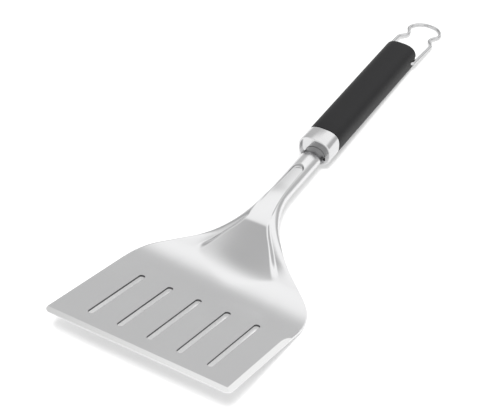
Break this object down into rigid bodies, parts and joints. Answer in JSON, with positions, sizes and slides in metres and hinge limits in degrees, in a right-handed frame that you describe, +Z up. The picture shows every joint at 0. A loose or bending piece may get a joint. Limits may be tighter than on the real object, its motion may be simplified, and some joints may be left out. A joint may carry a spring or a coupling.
{
  "type": "grill spatula",
  "caption": "Wide slotted grill spatula with a pressed steel neck, an oval soft-grip handle with a steel sleeve, and a swinging wire hanging loop.",
  "frame": {"origin": "centre of the bounding box's base, on the table that the heel and the grip's rear edge rest on", "axes": "+X from the blade's front edge to the hanging loop, +Y to the blade's left, away from its ground side edge, +Z up from the table"},
  "size_m": [0.4652, 0.15, 0.0383],
  "materials": {
    "brushed_steel": "brushed stainless steel, ground edges",
    "polished_steel": "polished stainless steel",
    "soft_grip": "matt soft-touch elastomer",
    "core_nylon": "moulded glass-filled nylon",
    "black_seal": "matt rubber",
    "tang_steel": "mill finish steel bar",
    "chrome_wire": "bright chromed wire"
  },
  "bodies": {
    "root": {"blade": "brushed_steel", "tang_bar": "tang_steel", "tang_rivets": "tang_steel", "tang_pin": "tang_steel", "front_cap": "polished_steel", "ferrule_sleeve": "polished_steel", "seal_ring": "black_seal", "handle_core": "core_nylon", "grip": "soft_grip", "end_cap": "core_nylon", "loop_bushes": "tang_steel"},
    "loop": {"hanging_loop": "chrome_wire"}
  },
  "joints": [
    {"name": "loop_swing", "type": "hinge", "parent": "root", "child": "loop", "pos_m": [0.16449, 0, 0.012], "axis": [0, -1, 0], "range_deg": [0, 14]}
  ]
}
